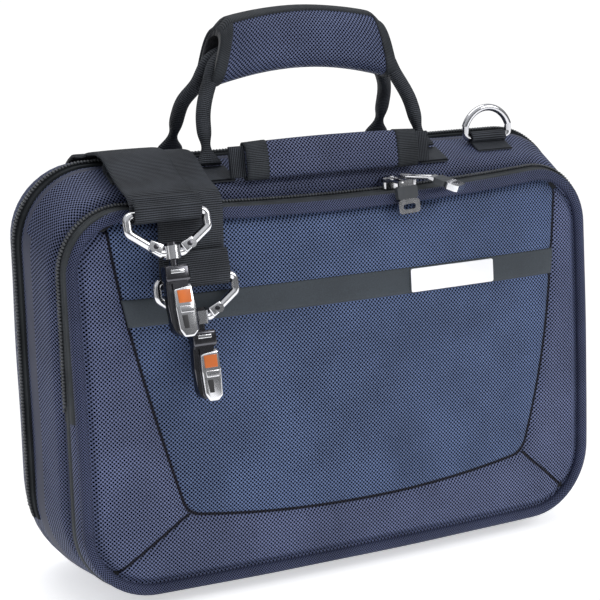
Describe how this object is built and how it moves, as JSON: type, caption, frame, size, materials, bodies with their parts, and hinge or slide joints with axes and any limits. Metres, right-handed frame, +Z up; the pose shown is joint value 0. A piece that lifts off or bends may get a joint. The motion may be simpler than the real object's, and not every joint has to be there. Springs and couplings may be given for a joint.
{
  "type": "clarinet case",
  "caption": "Soft-sided clarinet case with a zipped lid, front pocket, carry handle, grab handle and shoulder strap with swivel hooks.",
  "frame": {"origin": "on the floor, in the plane of the main zip, midway between the case's two ends", "axes": "+X to the right seen from the pocket side, -Y out of the pocket, +Z up with the handle on top"},
  "size_m": [0.3674, 0.1527, 0.319],
  "materials": {
    "navy_nylon": "coarse ballistic nylon weave",
    "black_webbing": "ribbed webbing",
    "zip_tape": "woven tape with coil",
    "black_band": "smooth",
    "lining": "short plush",
    "dark_chrome": "darkened, polished",
    "steel_wire": "nickel plated",
    "zip_metal": "polished",
    "plate_metal": "satin",
    "grey_rubber": "matt",
    "orange_insert": "matt",
    "black_plastic": "fine grain"
  },
  "bodies": {
    "rear_half": {"rear_shell": "navy_nylon", "instrument_tray": "lining", "rear_zip": "zip_tape", "hinge_strip": "lining", "strap_rear": "black_webbing", "strap_adjuster": "black_plastic", "handle_foot_rear_left": "black_webbing", "handle_foot_rear_right": "black_webbing"},
    "lid": {"lid_shell": "navy_nylon", "lid_pad": "lining", "lid_zip": "zip_tape", "pocket_gusset_lower": "navy_nylon", "pocket_zip_back": "zip_tape", "pocket_panel_centre_lower": "navy_nylon", "pocket_panel_left_lower": "navy_nylon", "pocket_panel_right_lower": "navy_nylon", "pocket_panel_foot": "navy_nylon", "pocket_piping_lower": "navy_nylon", "strap_lid_lower": "black_webbing", "strap_lid_upper": "black_webbing", "handle_foot_front_left": "black_webbing", "handle_foot_front_right": "black_webbing", "grab_pad": "navy_nylon", "grab_webbing": "black_webbing", "d_ring_tab_left": "black_webbing", "d_ring_tab_right": "black_webbing"},
    "pocket_flap": {"pocket_zip_front": "zip_tape", "pocket_gusset_upper": "navy_nylon", "pocket_panel_centre_upper": "navy_nylon", "pocket_panel_left_upper": "navy_nylon", "pocket_panel_right_upper": "navy_nylon", "pocket_piping_upper": "navy_nylon", "pocket_band": "black_band", "name_plate": "plate_metal", "strap_front_lower": "black_webbing", "strap_front_upper": "black_webbing"},
    "front_handle": {"handle_loop_front": "black_webbing", "grip_wrap_front": "navy_nylon"},
    "rear_handle": {"handle_loop_rear": "black_webbing", "grip_wrap_rear": "navy_nylon"},
    "right_ring": {"d_ring_right": "steel_wire"},
    "left_ring": {"d_ring_left": "steel_wire"},
    "main_slider_left": {"main_left_slider": "zip_metal"},
    "main_slider_right": {"main_right_slider": "zip_metal"},
    "main_pull_left": {"main_left_pull": "zip_metal"},
    "main_pull_right": {"main_right_pull": "zip_metal"},
    "pocket_slider_left": {"pocket_left_slider": "zip_metal"},
    "pocket_slider_right": {"pocket_right_slider": "zip_metal"},
    "pocket_pull_left": {"pocket_left_pull": "zip_metal", "pocket_left_pull_sleeve": "grey_rubber"},
    "pocket_pull_right": {"pocket_right_pull": "zip_metal", "pocket_right_pull_sleeve": "grey_rubber"},
    "upper_hook_loop": {"hook_loop_upper": "dark_chrome"},
    "upper_hook": {"hook_body_upper": "dark_chrome"},
    "upper_hook_lever": {"hook_lever_upper": "dark_chrome", "hook_pad_upper": "orange_insert"},
    "lower_hook_loop": {"hook_loop_lower": "dark_chrome"},
    "lower_hook": {"hook_body_lower": "dark_chrome"},
    "lower_hook_lever": {"hook_lever_lower": "dark_chrome", "hook_pad_lower": "orange_insert"}
  },
  "joints": [
    {"name": "lid_hinge", "type": "hinge", "parent": "rear_half", "child": "lid", "pos_m": [0, 0, 0], "axis": [1, 0, 0], "range_deg": [0, 175]},
    {"name": "pocket_fold", "type": "hinge", "parent": "lid", "child": "pocket_flap", "pos_m": [0, -0.0619, 0.108], "axis": [1, 0, 0], "range_deg": [0, 60]},
    {"name": "front_handle_swing", "type": "hinge", "parent": "lid", "child": "front_handle", "pos_m": [0, -0.023, 0.23601], "axis": [1, 0, 0], "range_deg": [0, 75]},
    {"name": "rear_handle_swing", "type": "hinge", "parent": "rear_half", "child": "rear_handle", "pos_m": [0, 0.03156, 0.23976], "axis": [-1, 0, 0], "range_deg": [0, 80]},
    {"name": "right_ring_swing", "type": "hinge", "parent": "lid", "child": "right_ring", "pos_m": [0.117, -0.019, 0.23797], "axis": [1, 0, 0], "range_deg": [-65, 110]},
    {"name": "left_ring_swing", "type": "hinge", "parent": "lid", "child": "left_ring", "pos_m": [-0.117, -0.019, 0.23797], "axis": [-1, 0, 0], "range_deg": [0, 2]},
    {"name": "main_slider_left_run", "type": "slide", "parent": "rear_half", "child": "main_slider_left", "axis": [0, 0, 1], "range_m": [0, 0.06]},
    {"name": "main_slider_right_run", "type": "slide", "parent": "rear_half", "child": "main_slider_right", "axis": [0, 0, -1], "range_m": [0, 0.048]},
    {"name": "main_pull_left_swing", "type": "hinge", "parent": "main_slider_left", "child": "main_pull_left", "pos_m": [0.1822, 0, 0.1265], "axis": [0, -1, 0], "range_deg": [0, 140]},
    {"name": "main_pull_right_swing", "type": "hinge", "parent": "main_slider_right", "child": "main_pull_right", "pos_m": [0.1822, 0, 0.1135], "axis": [0, -1, 0], "range_deg": [0, 14]},
    {"name": "pocket_slider_left_run", "type": "slide", "parent": "pocket_flap", "child": "pocket_slider_left", "axis": [-1, 0, 0.0097], "range_m": [0, 0.1]},
    {"name": "pocket_slider_right_run", "type": "slide", "parent": "pocket_flap", "child": "pocket_slider_right", "axis": [0.9989, 0, 0.0479], "range_m": [0, 0.07]},
    {"name": "pocket_pull_left_swing", "type": "hinge", "parent": "pocket_slider_left", "child": "pocket_pull_left", "pos_m": [0.0342, -0.043, 0.22184], "axis": [-0.9982, -0.0599, 0], "range_deg": [0, 65]},
    {"name": "pocket_pull_right_swing", "type": "hinge", "parent": "pocket_slider_right", "child": "pocket_pull_right", "pos_m": [0.0458, -0.043, 0.22211], "axis": [-0.8, -0.6, 0], "range_deg": [0, 42]},
    {"name": "upper_hook_swing", "type": "hinge", "parent": "pocket_flap", "child": "upper_hook_loop", "pos_m": [-0.113, -0.06398, 0.218], "axis": [-1, 0, 0], "range_deg": [0, 120]},
    {"name": "upper_hook_swivel", "type": "hinge", "parent": "upper_hook_loop", "child": "upper_hook", "pos_m": [-0.113, -0.06976, 0.19781], "axis": [0, -0.2756, -0.9613], "continuous": true},
    {"name": "upper_hook_gate", "type": "hinge", "parent": "upper_hook", "child": "upper_hook_lever", "pos_m": [-0.1088, -0.075, 0.17955], "axis": [0, 0.9613, -0.2756], "range_deg": [0, 12], "stiffness_Nm_per_rad": 0.03, "springref_deg": -17.19},
    {"name": "lower_hook_swing", "type": "hinge", "parent": "pocket_flap", "child": "lower_hook_loop", "pos_m": [-0.0965, -0.06089, 0.181], "axis": [-1, 0, 0], "range_deg": [0, 12]},
    {"name": "lower_hook_swivel", "type": "hinge", "parent": "lower_hook_loop", "child": "lower_hook", "pos_m": [-0.0965, -0.0649, 0.16039], "axis": [0, -0.1908, -0.9816], "continuous": true},
    {"name": "lower_hook_gate", "type": "hinge", "parent": "lower_hook", "child": "lower_hook_lever", "pos_m": [-0.0923, -0.06852, 0.14173], "axis": [0, 0.9816, -0.1908], "range_deg": [0, 12], "stiffness_Nm_per_rad": 0.03, "springref_deg": -17.19}
  ]
}
